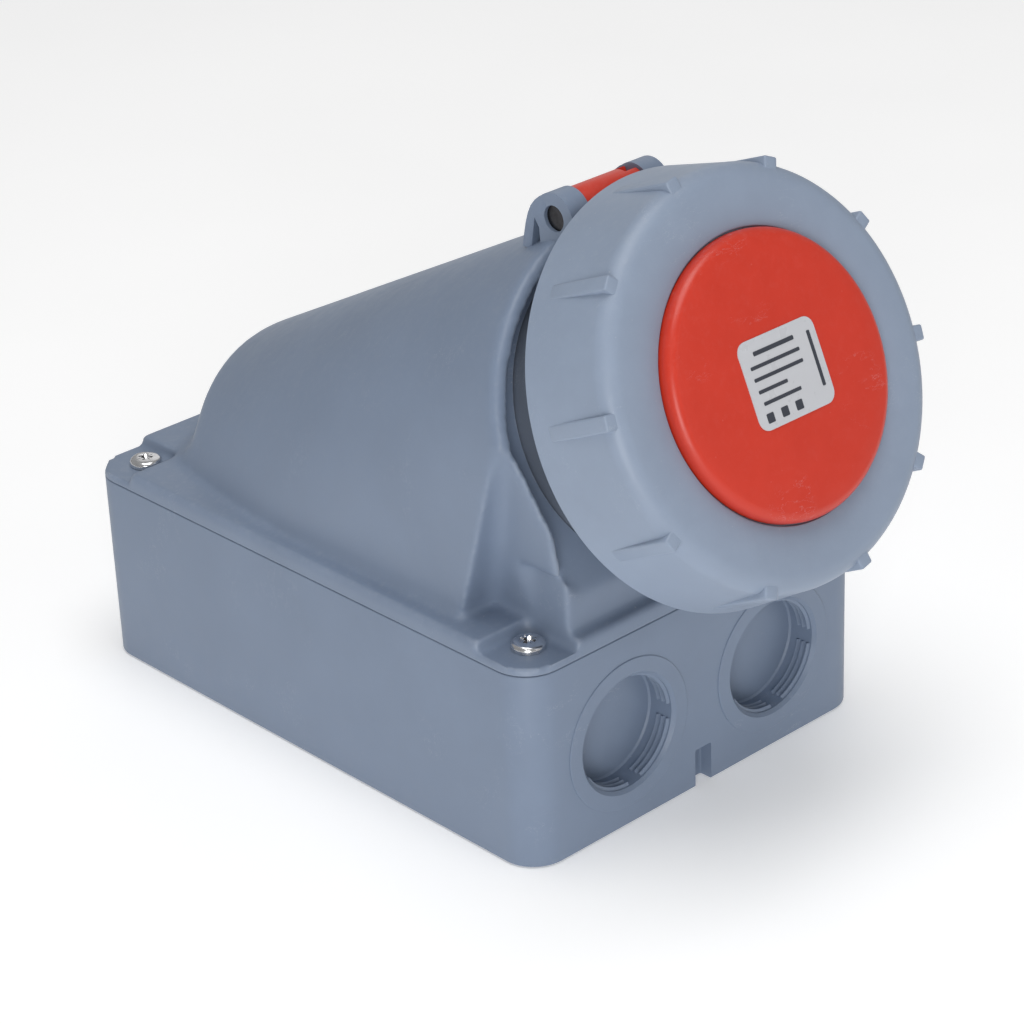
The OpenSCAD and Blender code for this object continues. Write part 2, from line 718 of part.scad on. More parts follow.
module lid_frame() {
    arm_top = ring_rear - 0.4;
    skirt_end = ring_rear - 5.5;
    color("firebrick") mouth() difference() {
        union() {
            translate([0, 0, frame_bottom]) cylinder(r = frame_r, h = frame_t, $fn = 160);
            intersection() {
                translate([0, 0, skirt_end]) linear_extrude(frame_top - skirt_end)
                    sector(skirt_r - skirt_w, skirt_r, 90, lug_half);
                across(arm_half) translate([0, -far]) square(2 * far);
            }
            translate([0, 0, frame_bottom]) linear_extrude(frame_t)
                sector(frame_r - 1, skirt_r, 90, lug_half);
            across(arm_half) polygon([
                [hinge_v - knuckle_r, hinge_z], [skirt_r - skirt_w - 1.4, arm_top],
                [skirt_r - 0.6, arm_top], [hinge_v, hinge_z + knuckle_r - 0.2],
                [hinge_v + knuckle_r - 0.2, hinge_z]]);
            translate([0, hinge_v, hinge_z]) rotate([0, 90, 0])
                cylinder(r = knuckle_r, h = 2 * (ear_x[0] - 0.2), center = true);
        }
        translate([0, hinge_v, hinge_z]) rotate([0, 90, 0])
            cylinder(r = pin_r + knuckle_fit, h = far, center = true);
    }
}

module lid_seal() {
    color("black") mouth() translate([0, 0, seal_bottom]) difference() {
        cylinder(r = barrel_r + 0.8, h = frame_bottom - seal_bottom, $fn = 160);
        translate([0, 0, -cut]) cylinder(r = barrel_bore_r + 0.3, h = far, $fn = 160);
    }
}

module rating_label() {
    round_r = 3;
    color("white") mouth() translate([0, 0, disc_z + disc_rise]) linear_extrude(label_t) {
        square([label[0] - 2 * round_r, label[1]], center = true);
        square([label[0], label[1] - 2 * round_r], center = true);
        for (s = screw_places) translate([s[0] * (label[0] / 2 - round_r), s[1] * (label[1] / 2 - round_r)])
            circle(r = round_r, $fn = 32);
    }
}

// Radius of the ring's outer cone at a height above the rim
function ring_r(z) = ring_front_r
    + (ring_rear_r - ring_front_r) * (ring_front - ring_round - z) / (ring_front - ring_round - ring_rear);

module locking_ring() {
    steps = 8;
    seat_r = disc_r + 0.4;
    rib_front = ring_front - 1;
    rib_rear = ring_rear + 5.8;
    color("slategray") mouth() {
        rotate_extrude($fn = 160) polygon(concat(
            [[ring_opening_r, ring_front - ring_web], [ring_opening_r, ring_front - disc_seat],
             [seat_r, ring_front - disc_seat], [seat_r, ring_front]],
            [for (i = [steps : -1 : 0]) let (a = 90 * i / steps)
                [ring_front_r - ring_round + ring_round * cos(a),
                 ring_front - ring_round + ring_round * sin(a)]],
            [[ring_rear_r, ring_rear], [ring_bore_r, ring_rear],
             [ring_bore_r, ring_front - ring_web]]));
        for (i = [0 : rib_n - 1]) rotate([90, 0, rib_phase + 360 * i / rib_n])
            translate([0, 0, -rib[0] / 2]) linear_extrude(rib[0]) polygon([
                [ring_bore_r + 1, rib_rear], [ring_r(rib_rear) + 0.1, rib_rear],
                [ring_r(rib_front) + rib[1], rib_front], [ring_bore_r + 1, rib_front]]);
        for (a = [0, 120, 240]) translate([0, 0, ring_lug_z - ring_lug_t]) linear_extrude(ring_lug_t)
            sector(ring_lug_r, ring_bore_r + 1, lug_angle + ring_turn + a, lug_half);
    }
}

rear_box();
cover_seal();
front_cover();
cover_screw(0);  // cover_screw_1
cover_screw(1);  // cover_screw_2
cover_screw(2);  // cover_screw_3
cover_screw(3);  // cover_screw_4
socket_barrel();
barrel_seal();
barrel_screw(0);  // barrel_screw_1
barrel_screw(1);  // barrel_screw_2
barrel_screw(2);  // barrel_screw_3
barrel_screw(3);  // barrel_screw_4
contact_carrier();
contact_cap();
contact(0);  // contact_l1
contact(1);  // contact_l2
contact(2);  // contact_l3
contact(3);  // contact_earth
contact(4);  // contact_pilot
terminal_screw(0);  // terminal_screw_l1
terminal_screw(1);  // terminal_screw_l2
terminal_screw(2);  // terminal_screw_l3
terminal_screw(3);  // terminal_screw_earth
terminal_screw(4);  // terminal_screw_pilot
hinge_pin();
lid_disc();
lid_frame();
lid_seal();
rating_label();
locking_ring();
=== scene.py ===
import math
import bmesh
import bpy
from mathutils import Matrix, Vector


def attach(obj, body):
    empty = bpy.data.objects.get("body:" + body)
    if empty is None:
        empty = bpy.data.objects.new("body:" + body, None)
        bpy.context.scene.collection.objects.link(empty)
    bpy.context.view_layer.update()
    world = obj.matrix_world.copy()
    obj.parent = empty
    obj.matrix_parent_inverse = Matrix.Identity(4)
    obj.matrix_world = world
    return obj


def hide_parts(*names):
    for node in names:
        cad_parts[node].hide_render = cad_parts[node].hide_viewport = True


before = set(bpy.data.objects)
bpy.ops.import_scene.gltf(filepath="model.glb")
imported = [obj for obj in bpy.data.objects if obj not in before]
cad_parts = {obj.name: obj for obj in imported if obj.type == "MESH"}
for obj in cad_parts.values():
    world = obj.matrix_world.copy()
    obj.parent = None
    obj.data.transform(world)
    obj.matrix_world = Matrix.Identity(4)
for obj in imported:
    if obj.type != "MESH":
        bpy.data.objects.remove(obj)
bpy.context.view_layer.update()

# Shapes are drawn in millimetres and scaled to metres when they become objects
mm = 0.001
far = 300
quarter = math.radians(90)


def turned(angle, axis):
    return Matrix.Rotation(math.radians(angle), 4, axis)


# The mouth's own frame: z runs out along its axis, y up across it
mouthPlace = Matrix.Translation((0, -79.7, 109.4)) @ turned(65.84, "X")
# The crown's frame: z runs to the rear along the crown, -y up
crownPlace = Matrix.Translation((0, -78.6, 102.3)) @ turned(-117.3, "X")

print("stage: camera and light")
cameraView = {
    "place": (-0.5121975, -0.5809820, 0.4377401),
    "turn": (63.35248, 2.23651, -43.25010),
    "lens": 111.3056,
    "sensor": 36,
    "shift": (0.0086605, -0.0017534),
}


def placeCamera(view):
    lensData = bpy.data.cameras.new("photoCamera")
    lensData.lens = view["lens"]
    lensData.sensor_width = view["sensor"]
    lensData.shift_x, lensData.shift_y = view["shift"]
    lensData.clip_start = 0.01
    camera = bpy.data.objects.new("photoCamera", lensData)
    camera.location = view["place"]
    camera.rotation_euler = [math.radians(a) for a in view["turn"]]
    bpy.context.scene.collection.objects.link(camera)
    bpy.context.scene.camera = camera


placeCamera(cameraView)

# name: place, what it looks at, width, height, watts
studioLights = {
    "keySoftbox": ((-0.95, -0.95, 0.30), (0, -0.06, 0.08), 0.5, 0.8, 8.0),
    "frontSoftbox": ((0.35, -1.3, 0.6), (0, -0.06, 0.08), 0.7, 0.7, 0.6),
    "topSoftbox": ((-0.1, -0.15, 1.4), (0, 0, 0.05), 0.9, 0.9, 9.5),
    "rearSoftbox": ((0.9, 0.9, 0.7), (0, 0, 0.06), 0.9, 0.9, 1.2),
}
worldLight = {"colour": (1, 1, 1, 1), "strength": 0.31}


def lightStudio(lights, world):
    for name, (place, target, width, height, watts) in lights.items():
        lamp = bpy.data.lights.new(name, "AREA")
        lamp.shape = "RECTANGLE"
        lamp.size, lamp.size_y, lamp.energy = width, height, watts
        holder = bpy.data.objects.new(name, lamp)
        holder.location = place
        aim = Vector(target) - Vector(place)
        holder.rotation_euler = aim.to_track_quat("-Z", "Y").to_euler()
        bpy.context.scene.collection.objects.link(holder)
    sky = bpy.data.worlds.new("studioWorld")
    bpy.context.scene.world = sky
    sky.use_nodes = True
    shell = sky.node_tree.nodes["Background"]
    shell.inputs["Color"].default_value = world["colour"]
    shell.inputs["Strength"].default_value = world["strength"]


lightStudio(studioLights, worldLight)
bpy.context.scene.view_settings.view_transform = "Standard"

print("stage: materials")


def addNode(tree, kind, **settings):
    node = tree.nodes.new(kind)
    for name, value in settings.items():
        setattr(node, name, value)
    return node


def join(tree, source, target):
    tree.links.new(source, target)


def setInputs(node, values):
    for name, value in values.items():
        node.inputs[name].default_value = value


def newGroup(name, inputs, outputs):
    group = bpy.data.node_groups.new(name, "ShaderNodeTree")
    kinds = {"colour": "NodeSocketColor", "value": "NodeSocketFloat"}
    for label, (kind, value) in inputs.items():
        socket = group.interface.new_socket(name=label, in_out="INPUT", socket_type=kinds[kind])
        socket.default_value = value
    for label, kind in outputs.items():
        group.interface.new_socket(name=label, in_out="OUTPUT", socket_type=kinds[kind])
    return group, addNode(group, "NodeGroupInput"), addNode(group, "NodeGroupOutput")


def mathNode(tree, operation, first, second, clamp=False):
    node = addNode(tree, "ShaderNodeMath", operation=operation, use_clamp=clamp)
    for socket, value in zip(node.inputs, (first, second)):
        if isinstance(value, (int, float)):
            socket.default_value = value
        else:
            join(tree, value, socket)
    return node.outputs[0]


def rangeNode(tree, value, low, high, toLow, toHigh):
    node = addNode(tree, "ShaderNodeMapRange")
    join(tree, value, node.inputs["Value"])
    setInputs(node, {"From Min": low, "From Max": high, "To Min": toLow, "To Max": toHigh})
    return node.outputs["Result"]


def mixColour(tree, factor, first, second, blend="MIX"):
    node = addNode(tree, "ShaderNodeMix", data_type="RGBA", blend_type=blend)
    for socket, value in ((node.inputs[0], factor), (node.inputs[6], first), (node.inputs[7], second)):
        if isinstance(value, (int, float, tuple)):
            socket.default_value = value
        else:
            join(tree, value, socket)
    return node.outputs[2]


def millimetres(tree, stretch=(1, 1, 1)):
    # Object coordinates in millimetres
    place = addNode(tree, "ShaderNodeTexCoord")
    scale = addNode(tree, "ShaderNodeMapping")
    scale.inputs["Scale"].default_value = [s / mm for s in stretch]
    join(tree, place.outputs["Object"], scale.inputs["Vector"])
    return scale.outputs["Vector"]


def noise(tree, vector, scale, detail=2.0, roughness=0.5):
    node = addNode(tree, "ShaderNodeTexNoise")
    join(tree, vector, node.inputs["Vector"])
    setInputs(node, {"Scale": scale, "Detail": detail, "Roughness": roughness})
    return node.outputs["Fac"]


def mouldedSkin():
    # Moulded plastic: cloudy tone, fine spark-eroded grain, edges made paler partly by rubbing and partly as a
    # painted highlight, hairline scuffs and dust
    group, start, end = newGroup("mouldedSkin", {
        "Colour": ("colour", (0.3, 0.3, 0.3, 1)), "Tone spread": ("value", 0.08),
        "Grain size": ("value", 0.5), "Base roughness": ("value", 0.45),
        "Edge wear and highlight": ("value", 0.3), "Scuffs": ("value", 0.3), "Dust": ("value", 0.3),
    }, {"Colour": "colour", "Roughness": "value", "Height": "value"})
    vector = millimetres(group)
    cloud = noise(group, vector, 0.035, 3.0)
    patch = noise(group, vector, 0.21, 4.0, 0.6)
    tone = mathNode(group, "ADD", cloud, mathNode(group, "MULTIPLY", patch, 0.5))
    spread = mathNode(group, "MULTIPLY", rangeNode(group, tone, 0.45, 1.05, -1, 1),
                      start.outputs["Tone spread"])
    lit = mathNode(group, "ADD", spread, 1.0)
    shade = addNode(group, "ShaderNodeCombineColor")
    for socket in shade.inputs:
        join(group, lit, socket)
    toned = mixColour(group, 1.0, start.outputs["Colour"], shade.outputs["Color"], "MULTIPLY")

    # Convex edges are a little paler and smoother, partly where hands and tools rub them and partly as a painted
    # highlight along the ridges
    form = addNode(group, "ShaderNodeNewGeometry")
    edge = rangeNode(group, form.outputs["Pointiness"], 0.52, 0.60, 0, 1)
    rubbedAndHighlit = mathNode(group, "MULTIPLY", edge, rangeNode(group, patch, 0.35, 0.6, 0.35, 1))
    wearAndHighlight = mathNode(group, "MULTIPLY", rubbedAndHighlit, start.outputs["Edge wear and highlight"], True)
    paleAndHighlit = mixColour(group, wearAndHighlight, toned, (0.62, 0.66, 0.72, 1))

    # Hairline scuffs: thin bands of a stretched noise
    swept = millimetres(group, (0.35, 1.3, 0.8))
    line = noise(group, swept, 0.16, 5.0, 0.65)
    near = mathNode(group, "ABSOLUTE", mathNode(group, "SUBTRACT", line, 0.5), 0)
    hair = rangeNode(group, near, 0.0, 0.004, 1, 0)
    gate = rangeNode(group, noise(group, vector, 0.06), 0.56, 0.66, 0, 1)
    scuff = mathNode(group, "MULTIPLY", mathNode(group, "MULTIPLY", hair, gate),
                     start.outputs["Scuffs"], True)
    scuffed = mixColour(group, scuff, paleAndHighlit, (0.55, 0.58, 0.63, 1))

    # Dust settles on what faces up, in specks and a thin film
    split = addNode(group, "ShaderNodeSeparateXYZ")
    join(group, form.outputs["Normal"], split.inputs["Vector"])
    upward = rangeNode(group, split.outputs["Z"], 0.2, 1.0, 0, 1)
    cells = addNode(group, "ShaderNodeTexVoronoi")
    join(group, vector, cells.inputs["Vector"])
    setInputs(cells, {"Scale": 0.22, "Randomness": 1.0})
    speck = rangeNode(group, cells.outputs["Distance"], 0.03, 0.06, 1, 0)
    film = rangeNode(group, noise(group, vector, 0.5, 4.0, 0.7), 0.5, 0.75, 0, 0.25)
    settled = mathNode(group, "MULTIPLY", mathNode(group, "MAXIMUM", speck, film), upward)
    dust = mathNode(group, "MULTIPLY", settled, start.outputs["Dust"], True)
    dusty = mixColour(group, dust, scuffed, (0.68, 0.67, 0.64, 1))
    join(group, dusty, end.inputs["Colour"])

    gloss = rangeNode(group, patch, 0.3, 0.7, -0.05, 0.05)
    rough = mathNode(group, "ADD", start.outputs["Base roughness"], gloss)
    rough = mathNode(group, "SUBTRACT", rough, mathNode(group, "MULTIPLY", wearAndHighlight, 0.12))
    rough = mathNode(group, "ADD", rough, mathNode(group, "MULTIPLY", dust, 0.4), True)
    join(group, rough, end.inputs["Roughness"])

    grainScale = mathNode(group, "DIVIDE", 1.0, start.outputs["Grain size"])
    grain = addNode(group, "ShaderNodeTexNoise")
    join(group, vector, grain.inputs["Vector"])
    join(group, grainScale, grain.inputs["Scale"])
    setInputs(grain, {"Detail": 3.0, "Roughness": 0.6})
    height = mathNode(group, "SUBTRACT", grain.outputs["Fac"],
                      mathNode(group, "MULTIPLY", scuff, 0.6))
    join(group, height, end.inputs["Height"])
    return group


skinGroup = mouldedSkin()


# The edge rub amount paints convex edges paler: partly wear, partly a painted highlight
def plastic(name, colour, roughness, grain, depth, spread=0.05, wearAndHighlight=0.25, scuffs=0.25, dust=0.25,
            coat=0.0):
    material = bpy.data.materials.new(name)
    material.use_nodes = True
    tree = material.node_tree
    shader = tree.nodes["Principled BSDF"]
    skin = addNode(tree, "ShaderNodeGroup", node_tree=skinGroup)
    setInputs(skin, {"Colour": (*colour, 1), "Tone spread": spread, "Grain size": grain,
                     "Base roughness": roughness, "Edge wear and highlight": wearAndHighlight, "Scuffs": scuffs, "Dust": dust})
    bump = addNode(tree, "ShaderNodeBump")
    bump.inputs["Distance"].default_value = depth * mm
    bump.inputs["Strength"].default_value = 1.0
    shader.inputs["IOR"].default_value = 1.46
    shader.inputs["Coat Weight"].default_value = coat
    shader.inputs["Coat Roughness"].default_value = 0.25
    join(tree, skin.outputs["Colour"], shader.inputs["Base Color"])
    join(tree, skin.outputs["Roughness"], shader.inputs["Roughness"])
    join(tree, skin.outputs["Height"], bump.inputs["Height"])
    join(tree, bump.outputs["Normal"], shader.inputs["Normal"])
    return material


def machinedSkin():
    # Turned or drawn metal: fine lines round the object and faint tarnish
    group, start, end = newGroup("machinedSkin", {
        "Colour": ("colour", (0.7, 0.7, 0.7, 1)), "Tarnish": ("colour", (0.3, 0.3, 0.3, 1)),
        "Tarnish amount": ("value", 0.3), "Base roughness": ("value", 0.2),
    }, {"Colour": "colour", "Roughness": "value", "Height": "value"})
    vector = millimetres(group)
    cloud = noise(group, vector, 0.4, 5.0, 0.65)
    spots = mathNode(group, "MULTIPLY", rangeNode(group, cloud, 0.45, 0.7, 0, 1),
                     start.outputs["Tarnish amount"], True)
    join(group, mixColour(group, spots, start.outputs["Colour"], start.outputs["Tarnish"]),
         end.inputs["Colour"])
    fine = noise(group, millimetres(group, (6, 6, 0.6)), 1.0, 3.0)
    rough = mathNode(group, "ADD", start.outputs["Base roughness"],
                     rangeNode(group, fine, 0.3, 0.7, -0.05, 0.08))
    rough = mathNode(group, "ADD", rough, mathNode(group, "MULTIPLY", spots, 0.25), True)
    join(group, rough, end.inputs["Roughness"])
    join(group, fine, end.inputs["Height"])
    return group


metalGroup = machinedSkin()


def metal(name, colour, tarnish, amount, roughness, depth):
    material = bpy.data.materials.new(name)
    material.use_nodes = True
    tree = material.node_tree
    shader = tree.nodes["Principled BSDF"]
    shader.inputs["Metallic"].default_value = 1.0
    skin = addNode(tree, "ShaderNodeGroup", node_tree=metalGroup)
    setInputs(skin, {"Colour": (*colour, 1), "Tarnish": (*tarnish, 1), "Tarnish amount": amount,
                     "Base roughness": roughness})
    bump = addNode(tree, "ShaderNodeBump")
    bump.inputs["Distance"].default_value = depth * mm
    join(tree, skin.outputs["Colour"], shader.inputs["Base Color"])
    join(tree, skin.outputs["Roughness"], shader.inputs["Roughness"])
    join(tree, skin.outputs["Height"], bump.inputs["Height"])
    join(tree, bump.outputs["Normal"], shader.inputs["Normal"])
    return material


greyPlastic = plastic("greyHousingPlastic", (0.185, 0.235, 0.325), 0.44, 0.45, 0.012, 0.05, 0.0)
# The cover keeps the default edge rub, so its ridges carry a painted highlight as well as wear
coverPlastic = plastic("greyCoverPlastic", (0.185, 0.235, 0.325), 0.44, 0.45, 0.012)
ringPlastic = plastic("greyRingPlastic", (0.25, 0.305, 0.40), 0.42, 0.45, 0.012, 0.05, 0.0)
redPlastic = plastic("redLidPlastic", (0.57, 0.036, 0.017), 0.34, 0.6, 0.010, 0.04, 0.0, 0.2, 0.2)
barrelPlastic = plastic("darkBarrelPlastic", (0.15, 0.175, 0.22), 0.4, 0.5, 0.012, 0.05, 0.0)
insulatorPlastic = plastic("insulatorPlastic", (0.055, 0.06, 0.07), 0.5, 0.5, 0.015, 0.05, 0.0)
sealRubber = plastic("sealRubber", (0.018, 0.018, 0.02), 0.62, 0.4, 0.02, 0.1, 0.0, 0.1, 0.3)
labelFilm = plastic("labelFilm", (0.53, 0.54, 0.57), 0.3, 0.8, 0.004, 0.02, 0.0, 0.1, 0.1)
labelInk = plastic("labelInk", (0.04, 0.045, 0.06), 0.4, 0.8, 0.002, 0.05, 0.0, 0.0, 0.0)
brightSteel = metal("brightScrewSteel", (0.78, 0.78, 0.79), (0.35, 0.33, 0.31), 0.35, 0.16, 0.01)
darkSteel = metal("hingePinSteel", (0.05, 0.05, 0.055), (0.02, 0.018, 0.016), 0.5, 0.3, 0.01)
contactBrass = metal("contactBrass", (0.72, 0.52, 0.24), (0.34, 0.2, 0.1), 0.4, 0.22, 0.01)

print("stage: tools for shapes")


def block(size, centre, roundRadius=0, steps=10):
    # A block with its four upright edges rounded
    bm = bmesh.new()
    bmesh.ops.create_cube(bm, size=1)
    bmesh.ops.scale(bm, vec=size, verts=bm.verts)
    if roundRadius:
        upright = [e for e in bm.edges if abs(e.verts[0].co.z - e.verts[1].co.z) > size[2] / 2]
        bmesh.ops.bevel(bm, geom=upright, offset=roundRadius, offset_type="OFFSET", segments=steps,
                        profile=0.5, affect="EDGES", material=-1)
    bmesh.ops.translate(bm, vec=centre, verts=bm.verts)
    return bm


def drum(radius, low, high, steps=128, endRadius=None, centre=(0, 0)):
    bm = bmesh.new()
    bmesh.ops.create_cone(bm, cap_ends=True, segments=steps, radius1=radius,
                          radius2=radius if endRadius is None else endRadius, depth=high - low)
    bmesh.ops.translate(bm, vec=(*centre, (low + high) / 2), verts=bm.verts)
    return bm


def pushOut(bm, faces, step, closed=True):
    # Extrudes faces by a step; on a closed shape the faces it started from go
    pushed = bmesh.ops.extrude_face_region(bm, geom=faces)["geom"]
    bmesh.ops.translate(bm, vec=step, verts=[g for g in pushed if isinstance(g, bmesh.types.BMVert)])
    if closed:
        bmesh.ops.delete(bm, geom=[f for f in faces if f.is_valid], context="FACES_ONLY")
    return bm


def across(outline, half, offset=0):
    # A prism along x from an outline given as up and forward in the mouth's frame
    bm = bmesh.new()
    side = bm.faces.new([bm.verts.new((offset - half, up, ahead)) for up, ahead in outline])
    return pushOut(bm, [side], (2 * half, 0, 0), False)


def lathe(profile, steps, sweep=360, start=0, closed=False):
    # A profile of radius and height turned round the z axis
    bm = bmesh.new()
    points = [bm.verts.new((radius, 0, height)) for radius, height in profile]
    pairs = list(zip(points, points[1:])) + ([(points[-1], points[0])] if closed else [])
    edges = [bm.edges.new(pair) for pair in pairs]
    bmesh.ops.rotate(bm, cent=(0, 0, 0), matrix=turned(start, "Z"), verts=bm.verts)
    whole = sweep == 360
    if not whole and closed:
        bm.faces.new(points)
    bmesh.ops.spin(bm, geom=list(bm.verts) + list(bm.edges) + list(bm.faces), cent=(0, 0, 0),
                   axis=(0, 0, 1), angle=math.radians(sweep), steps=steps, use_merge=whole)
    bmesh.ops.remove_doubles(bm, verts=bm.verts, dist=0.0005)
    return bm


def softenAll(bm, width, steps=3, above=30):
    # Rounds every edge that is sharper than the angle
    sharp = [e for e in bm.edges if len(e.link_faces) == 2 and e.calc_face_angle() > math.radians(above)]
    bmesh.ops.bevel(bm, geom=sharp, offset=width, offset_type="OFFSET", segments=steps, profile=0.5,
                    affect="EDGES", material=-1, clamp_overlap=True)
    return bm


def moved(bm, matrix):
    bmesh.ops.transform(bm, matrix=matrix, verts=bm.verts)
    return bm


def toObject(bm, name):
    bmesh.ops.scale(bm, vec=(mm, mm, mm), verts=bm.verts)
    bmesh.ops.recalc_face_normals(bm, faces=bm.faces)
    mesh = bpy.data.meshes.new(name)
    bm.to_mesh(mesh)
    bm.free()
    piece = bpy.data.objects.new(name, mesh)
    bpy.context.scene.collection.objects.link(piece)
    return piece


def settle(piece):
    # The piece's modifiers become its mesh
    graph = bpy.context.evaluated_depsgraph_get()
    shaped = bpy.data.meshes.new_from_object(piece.evaluated_get(graph))
    piece.modifiers.clear()
    rough = piece.data
    piece.data = shaped
    bpy.data.meshes.remove(rough)
    return piece


def checkClosed(piece):
    bm = bmesh.new()
    bm.from_mesh(piece.data)
    loose = sum(1 for e in bm.edges if len(e.link_faces) != 2)
    if loose:
        print("open edges:", piece.name, loose)
    bm.free()


def combine(piece, bm, how="DIFFERENCE", solver="MANIFOLD"):
    tool = toObject(bm, "tool") if isinstance(bm, bmesh.types.BMesh) else bm
    step = piece.modifiers.new("combine", "BOOLEAN")
    step.operation, step.solver, step.object = how, solver, tool
    settle(piece)
    checkClosed(piece)
    bpy.data.objects.remove(tool)
    return piece


def cutFlat(bm, point, normal):
    # Takes off what lies on the normal's side and closes the cut
    geom = list(bm.verts) + list(bm.edges) + list(bm.faces)
    made = bmesh.ops.bisect_plane(bm, geom=geom, plane_co=point, plane_no=normal, clear_outer=True)
    rim = [g for g in made["geom_cut"] if isinstance(g, bmesh.types.BMEdge)]
    bmesh.ops.contextual_create(bm, geom=rim)
    return bm


def shadeByAngle(mesh, limit):
    bm = bmesh.new()
    bm.from_mesh(mesh)
    for face in bm.faces:
        face.smooth = True
    for edge in bm.edges:
        edge.smooth = len(edge.link_faces) == 2 and edge.calc_face_angle() < math.radians(limit)
    bm.to_mesh(mesh)
    bm.free()


def dress(piece, body, material, replaced=(), limit=32):
    shadeByAngle(piece.data, limit)
    piece.data.materials.clear()
    piece.data.materials.append(material)
    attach(piece, body)
    if replaced:
        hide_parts(*replaced)
    return piece


print("stage: wall box")
boxSizes = {"width": 123.2, "length": 176.6, "height": 55, "corner": 10, "wall": 4, "floor": 3.5,
            "edge": 0.5, "entryX": 26.9, "entryZ": 26.6, "entryRadius": 16, "entryDepth": 8.5,
            "bossRadius": 20.5, "bossDepth": 10.3, "padRadius": 21.1, "pad": 0.3,
            "fixing": (38, 62), "fixingRadius": 3, "fixingBoss": 7, "fixingHeight": 7,
            "notch": (6, 4, 11), "screw": (50.3, 77.3), "screwBore": 2.5}


def entryPlace(side, sizes):
    # Frame of a cable entry: z runs into the box
    return Matrix.Translation((side * sizes["entryX"], -sizes["length"] / 2, sizes["entryZ"])) @ turned(-90, "X")


def buildBox(s):
    half = s["height"] / 2
    outer = block((s["width"], s["length"], s["height"]), (0, 0, half), s["corner"], 12)
    softenAll(outer, s["edge"], 3, 60)
    shell = toObject(outer, "boxShell")
    inner = block((s["width"] - 2 * s["wall"], s["length"] - 2 * s["wall"], s["height"]),
                  (0, 0, s["floor"] + half), s["corner"] - s["wall"], 8)
    combine(shell, inner)
    for x in (-1, 1):
        for y in (-1, 1):
            post = block((20, 20, s["height"] - s["floor"] - 0.2), (x * 54, y * 81, half + 1), 4, 6)
            trim = block((s["width"] - 1, s["length"] - 1, far), (0, 0, 0), s["corner"] - 0.5, 8)
            bmesh.ops.recalc_face_normals(post, faces=post.faces)
            column = toObject(post, "column")
            combine(column, trim, "INTERSECT")
            combine(shell, column, "UNION")
            boss = drum(s["fixingBoss"], 1, s["fixingHeight"], 48, None, (x * s["fixing"][0], y * s["fixing"][1]))
            combine(shell, boss, "UNION")
    for side in (-1, 1):
        place = entryPlace(side, s)
        combine(shell, moved(drum(s["bossRadius"], 1, s["bossDepth"], 96), place), "UNION")
        pad = lathe([(0, 1), (s["padRadius"], 1), (s["padRadius"], -s["pad"] + 0.12),
                     (s["padRadius"] - 0.2, -s["pad"]), (0, -s["pad"])], 128)
        combine(shell, moved(pad, place), "UNION")
    nx, ny, nz = s["notch"]
    combine(shell, block((nx * 2, 7, nz + 3.5), (0, -s["length"] / 2 + 4, (nz + 3.5) / 2 + 0.5)), "UNION")
    for side in (-1, 1):
        place = entryPlace(side, s)
        bore = lathe([(0, -3), (s["entryRadius"] + 0.9, -3), (s["entryRadius"] + 0.9, -s["pad"]),
                      (s["entryRadius"], 0.6), (s["entryRadius"], s["entryDepth"] - 0.5),
                      (s["entryRadius"] - 0.5, s["entryDepth"]), (0, s["entryDepth"])], 128)
        combine(shell, moved(bore, place))
    slot = block((nx, ny * 2, nz * 2), (0, -s["length"] / 2, 0), 0)
    softenAll(slot, 0.6, 3, 60)
    combine(shell, slot)
    for x in (-1, 1):
        for y in (-1, 1):
            combine(shell, drum(s["fixingRadius"], -5, 30, 48, None, (x * s["fixing"][0], y * s["fixing"][1])))
            combine(shell, drum(s["screwBore"], 36, 70, 32, None, (x * s["screw"][0], y * s["screw"][1])))
    return shell


dress(buildBox(boxSizes), "housing", greyPlastic, ["rear_box"], 28)

# Thread ridges in the cable entries: turns, pitch, and the arcs that carry them
threadSizes = {"radius": 16.2, "height": 1.0, "pitch": 1.7, "turns": 3, "start": 1.6,
               "arcs": ((-80, 74), (10, 62), (88, 62), (168, 94))}


def buildThreads(s):
    whole = bmesh.new()
    for side in (-1, 1):
        for turn in range(s["turns"]):
            level = s["start"] + turn * s["pitch"]
            for start, sweep in s["arcs"]:
                ridge = lathe([(s["radius"], level - 0.6), (s["radius"] - s["height"], level - 0.12),
                               (s["radius"] - s["height"], level + 0.12), (s["radius"], level + 0.6)],
                              max(8, int(sweep / 4)), sweep, start, True)
                moved(ridge, entryPlace(side, boxSizes))
                part = bpy.data.meshes.new("ridge")
                ridge.to_mesh(part)
                ridge.free()
                whole.from_mesh(part)
                bpy.data.meshes.remove(part)
    return toObject(whole, "entryThreads")


dress(buildThreads(threadSizes), "housing", greyPlastic)

print("stage: cover")
coverSizes = {"plateLow": 55.3, "plateTop": 60, "ledgeEdge": 0.9, "half": 55.1, "front": -84.5,
              "arcRadius": 71.5, "arcY": 7, "crown": 55.2, "rimFront": -4, "hollow": 51,
              "hollowUp": -6.03, "hollowFloor": -12, "wall": 3.2, "bore": 41.3,
              "pocket": (43.2, -57.6), "pocketLean": 16.8, "pocketSplay": 10.1, "pocketRound": 3.8,
              "recess": 7, "recessDepth": 3, "footRadius": 9, "voxel": 1.0, "ridge": 2.2,
              "hinge": (51.05, -2.4), "knuckleGap": (6.6, 10.7), "pinBore": (3.4, 17)}


def underCrown(s, inset):
    # Everything below the crown's round back
    crown = drum(s["crown"] - inset, -far, far, 192)
    cutFlat(crown, (0, 0.01, 0), (0, 1, 0))
    crown.normal_update()
    under = [f for f in crown.faces if f.normal.y > 0.9]
    return moved(pushOut(crown, under, (0, far, 0)), crownPlace)


